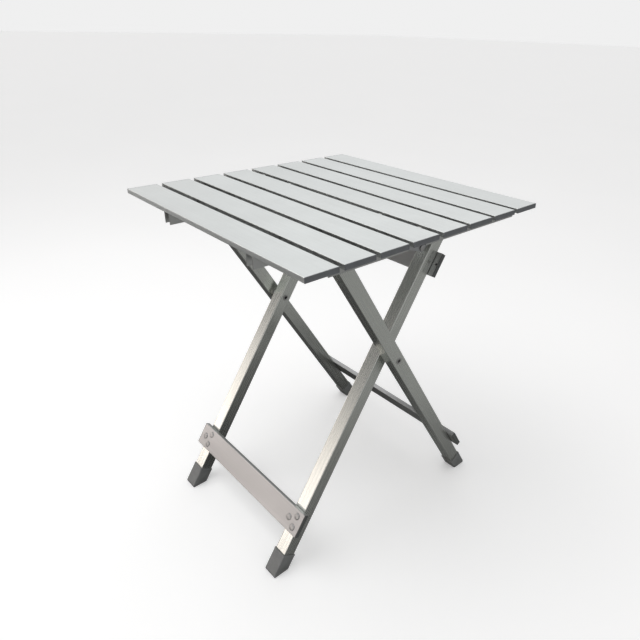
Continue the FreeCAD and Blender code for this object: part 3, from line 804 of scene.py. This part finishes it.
def solids_of(node):
    """Corner boxes of the separate solids of a CAD node, from left to right and front to back."""
    mesh = frame["nodes"][node].data.copy()
    holder = bpy.data.objects.new("measure", mesh)
    bpy.context.scene.collection.objects.link(holder)
    only(holder)
    bpy.ops.object.mode_set(mode="EDIT")
    bpy.ops.mesh.select_all(action="SELECT")
    bpy.ops.mesh.remove_doubles(threshold=WELD)
    bpy.ops.mesh.separate(type="LOOSE")
    bpy.ops.object.mode_set(mode="OBJECT")
    boxes = []
    for part in list(bpy.context.selected_objects):
        points = [vertex.co for vertex in part.data.vertices]
        low = Vector([min(p[axis] for p in points) for axis in range(3)])
        high = Vector([max(p[axis] for p in points) for axis in range(3)])
        boxes.append((low, high))
        bpy.data.objects.remove(part)
    return sorted(boxes, key=lambda pair: (round(pair[0].x, 4), round(pair[0].y, 4)))


def rolled_pin(low, high, sizes):
    """Outline of a tubular rivet with a rolled flange at each end, for a solid between two corners."""
    bore, shank, flange, lip = sizes.pin_bore, sizes.pin_shank, sizes.pin_flange, sizes.pin_lip
    curl = 0.35 * lip
    half = (high.x - low.x) / 2
    end = [(shank, half - lip), (flange, half - lip), (flange, half - curl), (flange - curl, half),
           (bore + 2 * curl, half), (bore, half - 2 * curl)]
    return [(radius, -height) for radius, height in reversed(end)] + end


def washer(low, high, sizes):
    """Outline of a plain washer that sits on a pivot pin, for a solid between two corners."""
    inner, outer = sizes.pin_shank, (high.y - low.y) / 2
    half = (high.x - low.x) / 2
    return [(inner, -half), (outer, -half), (outer, half), (inner, half)]


# ---------------------------------------------------------------- studio

def floor_material(colour, lift):
    """Pale floor. The metal sees it darker, and darkest under the table and left of it."""
    material, wires, shader, place = new_material("Studio floor")
    tone = wires.add("ShaderNodeTexNoise", in_Scale=1.5, in_Detail=2.0)
    wires.join(place, tone.inputs["Vector"])
    seen = wires.mix(wires.ramp(tone.outputs[0], 0.3, 0.7), shaded(colour, 0.99), shaded(colour, 1.01))
    away = wires.add("ShaderNodeVectorMath", operation="DISTANCE", in_1=SHADE_CENTRE)
    wires.join(place, away.inputs[0])
    open_floor = wires.ramp(away.outputs["Value"], SHADE_NEAR, SHADE_FAR)
    mirrored = wires.mix(open_floor, SHADED_FLOOR, OPEN_FLOOR)
    camera = wires.add("ShaderNodeLightPath").outputs["Is Camera Ray"]
    wires.join(wires.mix(camera, mirrored, seen), shader.inputs["Base Color"])
    wires.join(wires.mix(camera, (0.0, 0.0, 0.0), colour), shader.inputs["Emission Color"])
    shader.inputs["Emission Strength"].default_value = lift
    shader.inputs["Roughness"].default_value = 0.8
    shader.inputs["Specular IOR Level"].default_value = 0.1
    return material


def surround(strength):
    """Plain white behind the table; in the metal, a soft room with a low warm window in front on
    the left, shade above it, and a higher window behind on the left."""
    world = bpy.data.worlds.new("Studio surround")
    world.use_nodes = True
    wires = Wires(world.node_tree)
    back = world.node_tree.nodes["Background"]
    direction = wires.add("ShaderNodeTexCoord").outputs["Generated"]
    split = wires.add("ShaderNodeSeparateXYZ")
    wires.join(direction, split.inputs[0])
    up = split.outputs[2]

    def towards(side, least, most):
        dot = wires.add("ShaderNodeVectorMath", operation="DOT_PRODUCT", in_1=side)
        wires.join(direction, dot.inputs[0])
        return wires.ramp(dot.outputs["Value"], least, most)

    front = towards(FRONT_LEFT, 0.15, 0.85)
    rear = towards(REAR_LEFT, 0.45, 0.95)
    high_window = wires.math("MULTIPLY", rear, wires.math(
        "MULTIPLY", wires.ramp(up, 0.05, 0.40, 0.0, HIGH_WINDOW), wires.ramp(up, 0.85, 0.55)))
    low_shade = wires.math("MULTIPLY", rear, wires.ramp(up, 0.14, 0.02, 0.0, LOW_SHADE))
    high_shade = wires.math("MULTIPLY", front, wires.math(
        "MULTIPLY", wires.ramp(up, 0.14, 0.28, 0.0, HIGH_SHADE), wires.ramp(up, 0.85, 0.60)))
    level = wires.math("ADD", high_window, ROOM)
    level = wires.math("SUBTRACT", wires.math("SUBTRACT", level, low_shade), high_shade)
    glow = wires.add("ShaderNodeMix", data_type="RGBA", blend_type="ADD")
    wires.join(wires.math("MULTIPLY", front, wires.ramp(up, 0.25, 0.07)), glow.inputs[MIX_AMOUNT])
    wires.join(level, glow.inputs[MIX_FIRST])
    glow.inputs[MIX_SECOND].default_value = LOW_WINDOW
    camera = wires.add("ShaderNodeLightPath").outputs["Is Camera Ray"]
    wires.join(wires.mix(camera, glow.outputs[MIX_RESULT], BACKDROP), back.inputs["Color"])
    back.inputs["Strength"].default_value = strength
    return world


# ---------------------------------------------------------------- operators

class TABLE_OT_slats(bpy.types.Operator):
    """Dress the eight slats in satin anodised aluminium"""
    bl_idname = "table.slats"
    bl_label = "Slats"

    def execute(self, context):
        for node in SLATS:
            dress(node, "slat_metal")
        return {"FINISHED"}


class TABLE_OT_slat_plugs(bpy.types.Operator):
    """Close the slat ends with recessed plastic plates"""
    bl_idname = "table.slat_plugs"
    bl_label = "Slat end plugs"

    def execute(self, context):
        for half, nodes in (("front", SLATS[:4]), ("back", SLATS[4:])):
            matrices = []
            for node in nodes:
                low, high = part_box(node)
                place = (low + high) / 2
                right = Matrix.Translation((high.x + PLUG_THICK / 2, place.y, place.z))
                left = Matrix.Translation((low.x - PLUG_THICK / 2, place.y, place.z))
                matrices += [right, left @ HALF_TURN]
            # the slats are alike, so the last one gives the plug's size
            plug = end_plug(high.y - low.y, high.z - low.z, "slat_plug")
            piece = repeated(plug, matrices, half + "_slat_end_caps")
            finish_piece(piece, "slat_plug_plastic", half + "_half", half + "_slat_end_plugs")
        return {"FINISHED"}


class TABLE_OT_rails(bpy.types.Operator):
    """Round the cut edges of the eight channel rails and finish them"""
    bl_idname = "table.rails"
    bl_label = "Channel rails"

    def execute(self, context):
        edge = context.scene.table_sizes.soft_edge
        for half in ("front", "back"):
            for line in ("inner", "outer"):
                for _, hand in SIDES:
                    node = "%s_%s_rail_%s" % (half, line, hand)
                    softened(node, "rail_metal", half + "_half", edge, node + "_channel")
        return {"FINISHED"}


class TABLE_OT_hinges(bpy.types.Operator):
    """Finish the middle hinges: plates, small rivets, pins and the blocks in the gap"""
    bl_idname = "table.hinges"
    bl_label = "Middle hinges"

    def execute(self, context):
        edge = context.scene.table_sizes.soft_edge
        for half in ("front", "back"):
            softened(half + "_hinge_plates", "hinge_steel", half + "_half", edge, half + "_hinge_arms")
            softened(half + "_hinge_rivets", "rivet_metal", half + "_half", edge, half + "_hinge_fixings")
        softened("middle_hinge_pins", "rivet_metal", "back_half", edge, "hinge_pins_rounded")
        softened("middle_gap_stops", "washer_plastic", "back_half", 2 * edge, "gap_stop_blocks")
        return {"FINISHED"}


class TABLE_OT_tubes(bpy.types.Operator):
    """Dress the four leg tubes, with their die lines along each leg"""
    bl_idname = "table.tubes"
    bl_label = "Leg tubes"

    def execute(self, context):
        for name in ("outer", "inner"):
            for _, hand in SIDES:
                dress("%s_leg_%s" % (name, hand), "tube_metal_" + name)
        return {"FINISHED"}


class TABLE_OT_bars(bpy.types.Operator):
    """Dress the front plate, the upper bar and the rear bar"""
    bl_idname = "table.bars"
    bl_label = "Cross bars"

    def execute(self, context):
        for bar, _, _ in BARS:
            dress(bar, "bar_metal")
        return {"FINISHED"}


class TABLE_OT_frame_plugs(bpy.types.Operator):
    """Close the ends of the bars and the tops of the tubes"""
    bl_idname = "table.frame_plugs"
    bl_label = "Bar and tube plugs"

    def execute(self, context):
        for bar, legs, _ in BARS:
            place, turn, half, wide, deep = bar_frame(bar, legs)
            plug = end_plug(deep, wide, "bar_plug")
            matrices = [place @ Matrix.Translation((half + PLUG_THICK / 2, 0, 0)) @ turn,
                        place @ Matrix.Translation((-half - PLUG_THICK / 2, 0, 0)) @ turn @ HALF_TURN]
            piece = repeated(plug, matrices, bar + "_end_caps")
            finish_piece(piece, "frame_plug_plastic", legs + "_legs", bar + "_end_plugs")
        edge = context.scene.table_sizes.soft_edge
        for legs in ("outer", "inner"):
            softened(legs + "_leg_top_plugs", "frame_plug_plastic", legs + "_legs", edge,
                     legs + "_leg_tops")
        return {"FINISHED"}


class TABLE_OT_bar_rivets(bpy.types.Operator):
    """Put button-headed rivets in the cross bars, three on each leg"""
    bl_idname = "table.bar_rivets"
    bl_label = "Bar rivets"

    def execute(self, context):
        sizes = context.scene.table_sizes
        across, along = sizes.rivet_across, sizes.rivet_along
        for bar, legs, face in BARS:
            place, turn, _, _, deep = bar_frame(bar, legs)
            upright = Matrix.Rotation(math.radians(-90) * face, 4, "X")
            matrices = []
            for side, _ in SIDES:
                for x, z in ((-across, 0), (across, along), (across, -along)):
                    seat = Matrix.Translation((side * leg_x(legs) + x, face * deep / 2, z))
                    matrices.append(place @ turn @ seat @ upright)
            master = button_rivet(sizes.rivet_head, sizes.rivet_height, sizes.rivet_grip, 0, "bar_rivet")
            piece = repeated(master, matrices, bar + "_blind_rivets")
            finish_piece(piece, "rivet_metal", legs + "_legs", bar + "_rivets")
        return {"FINISHED"}


class TABLE_OT_slat_rivets(bpy.types.Operator):
    """Put blind rivets under the slats, through the rails"""
    bl_idname = "table.slat_rivets"
    bl_label = "Slat rivets"

    def execute(self, context):
        sizes = context.scene.table_sizes
        for half in ("front", "back"):
            node = half + "_slat_rivets"
            matrices = []
            for low, high in solids_of(node):
                seat = Vector(((low.x + high.x) / 2, (low.y + high.y) / 2, low.z + sizes.small_height))
                matrices.append(Matrix.Translation(seat) @ Matrix.Rotation(math.pi, 4, "X"))
            # the rivets are alike, so the last one gives the length
            grip = high.z - low.z - sizes.small_height
            master = button_rivet(sizes.small_head, sizes.small_height, grip, sizes.mandrel, "slat_rivet")
            piece = repeated(master, matrices, half + "_blind_rivets")
            finish_piece(piece, "rivet_metal", half + "_half", node)
        return {"FINISHED"}


class TABLE_OT_pivots(bpy.types.Operator):
    """Turn the tubular rivets, studs, sleeves and washers of the pivots"""
    bl_idname = "table.pivots"
    bl_label = "Pivots"

    def execute(self, context):
        sizes = context.scene.table_sizes
        upright = Matrix.Rotation(math.radians(90), 4, "Y")
        for node, name, body, outline, edge, slot in (
                ("cross_pivot_pins", "cross_pivot_eyelets", "outer_legs", rolled_pin, PIN_EDGE,
                 "rivet_metal"),
                ("front_pivot_pins", "front_pivot_eyelets", "front_half", rolled_pin, PIN_EDGE,
                 "rivet_metal"),
                ("cross_pivot_spacers", "cross_pivot_spacers_turned", "outer_legs", washer, WASHER_EDGE,
                 "washer_plastic"),
                ("front_pivot_washers", "front_pivot_washers_turned", "front_half", washer, WASHER_EDGE,
                 "washer_plastic")):
            boxes = solids_of(node)
            master = turned("pivot_master", outline(*boxes[0], sizes), edge)
            matrices = [Matrix.Translation((low + high) / 2) @ upright for low, high in boxes]
            piece = repeated(master, matrices, name)
            finish_piece(piece, slot, body, node)
        edge = sizes.soft_edge
        softened("back_pivot_studs", "rivet_metal", "back_half", edge, "back_pivot_collars")
        softened("inner_leg_pivot_sleeves", "rivet_metal", "inner_legs", edge, "inner_leg_eyelets")
        return {"FINISHED"}


class TABLE_OT_feet(bpy.types.Operator):
    """Mould the four foot caps and cut them level with the floor"""
    bl_idname = "table.feet"
    bl_label = "Foot caps"

    def execute(self, context):
        for name in ("outer", "inner"):
            master = foot_cap("foot_cap", name)
            for side, hand in SIDES:
                node = "%s_foot_cap_%s" % (name, hand)
                low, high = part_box(node)
                matrix = Matrix.Translation((side * leg_x(name), 0, 0)) @ leg_matrix(name)
                cap = copy_of(master, "%s_foot_%s" % (name, hand), matrix)
                cut_level(cap, Vector((0, 0, 0)), Vector((0, 0, 1)))
                toe, inward = (high, -1) if name == "outer" else (low, 1)
                cut_level(cap, toe, Vector((0, inward, 0)))
                round_edges(cap, CAP_EDGE, angle=28)
                finish_piece(cap, "foot_plastic", name + "_legs", node)
            bpy.data.objects.remove(master)
        return {"FINISHED"}


class TABLE_OT_studio(bpy.types.Operator):
    """Set up the pale floor, the soft light and the camera"""
    bl_idname = "table.studio"
    bl_label = "Studio"

    def execute(self, context):
        stage = context.scene.table_stage
        deselect()
        bpy.ops.mesh.primitive_plane_add(size=FLOOR_SIZE, location=(0, 0, 0))
        floor = added("studio_floor")
        floor.data.materials.append(floor_material(tuple(stage.floor), stage.lift))
        context.scene.world = surround(stage.sky)
        context.scene.view_settings.view_transform = "Standard"
        deselect()
        bpy.ops.object.light_add(type="AREA", location=LIGHT_PLACE)
        key = context.object
        key.name = "overhead_light"
        key.data.shape = "RECTANGLE"
        key.data.size = LIGHT_SIZE
        key.data.size_y = LIGHT_SIZE
        key.data.energy = stage.key
        key.rotation_euler = (Vector(LIGHT_AIM) - key.location).to_track_quat("-Z", "Y").to_euler()
        bpy.ops.object.camera_add(location=stage.eye, rotation=stage.aim)
        camera = context.object
        camera.name = "studio_camera"
        camera.data.lens = stage.lens
        camera.data.shift_x = stage.shift_x
        camera.data.shift_y = stage.shift_y
        context.scene.camera = camera
        return {"FINISHED"}


class TABLE_PT_panel(bpy.types.Panel):
    """Lists the pieces of the folding side table"""
    bl_idname = "TABLE_PT_panel"
    bl_label = "Folding Side Table"
    bl_space_type = "VIEW_3D"
    bl_region_type = "UI"
    bl_category = "Table"

    def draw(self, context):
        for operator in OPERATORS:
            self.layout.operator(operator.bl_idname)
        for group in (context.scene.table_finishes, context.scene.table_sizes, context.scene.table_stage):
            box = self.layout.box()
            for name in group.bl_rna.properties.keys():
                if name not in {"rna_type", "name"}:
                    box.prop(group, name)


OPERATORS = (TABLE_OT_slats, TABLE_OT_slat_plugs, TABLE_OT_rails, TABLE_OT_hinges, TABLE_OT_tubes,
             TABLE_OT_bars, TABLE_OT_frame_plugs, TABLE_OT_bar_rivets, TABLE_OT_slat_rivets,
             TABLE_OT_pivots, TABLE_OT_feet, TABLE_OT_studio)
GROUP_CLASSES = (TableFinishes, TableSizes, TableStage)


def register():
    for item in GROUP_CLASSES + OPERATORS + (TABLE_PT_panel,):
        bpy.utils.register_class(item)
    bpy.types.Scene.table_finishes = PointerProperty(type=TableFinishes)
    bpy.types.Scene.table_sizes = PointerProperty(type=TableSizes)
    bpy.types.Scene.table_stage = PointerProperty(type=TableStage)


def unregister():
    del bpy.types.Scene.table_stage
    del bpy.types.Scene.table_sizes
    del bpy.types.Scene.table_finishes
    for item in reversed(GROUP_CLASSES + OPERATORS + (TABLE_PT_panel,)):
        bpy.utils.unregister_class(item)


def main():
    register()
    for operator in OPERATORS:
        group, name = operator.bl_idname.split(".")
        getattr(getattr(bpy.ops, group), name)()


if __name__ == "__main__":
    main()
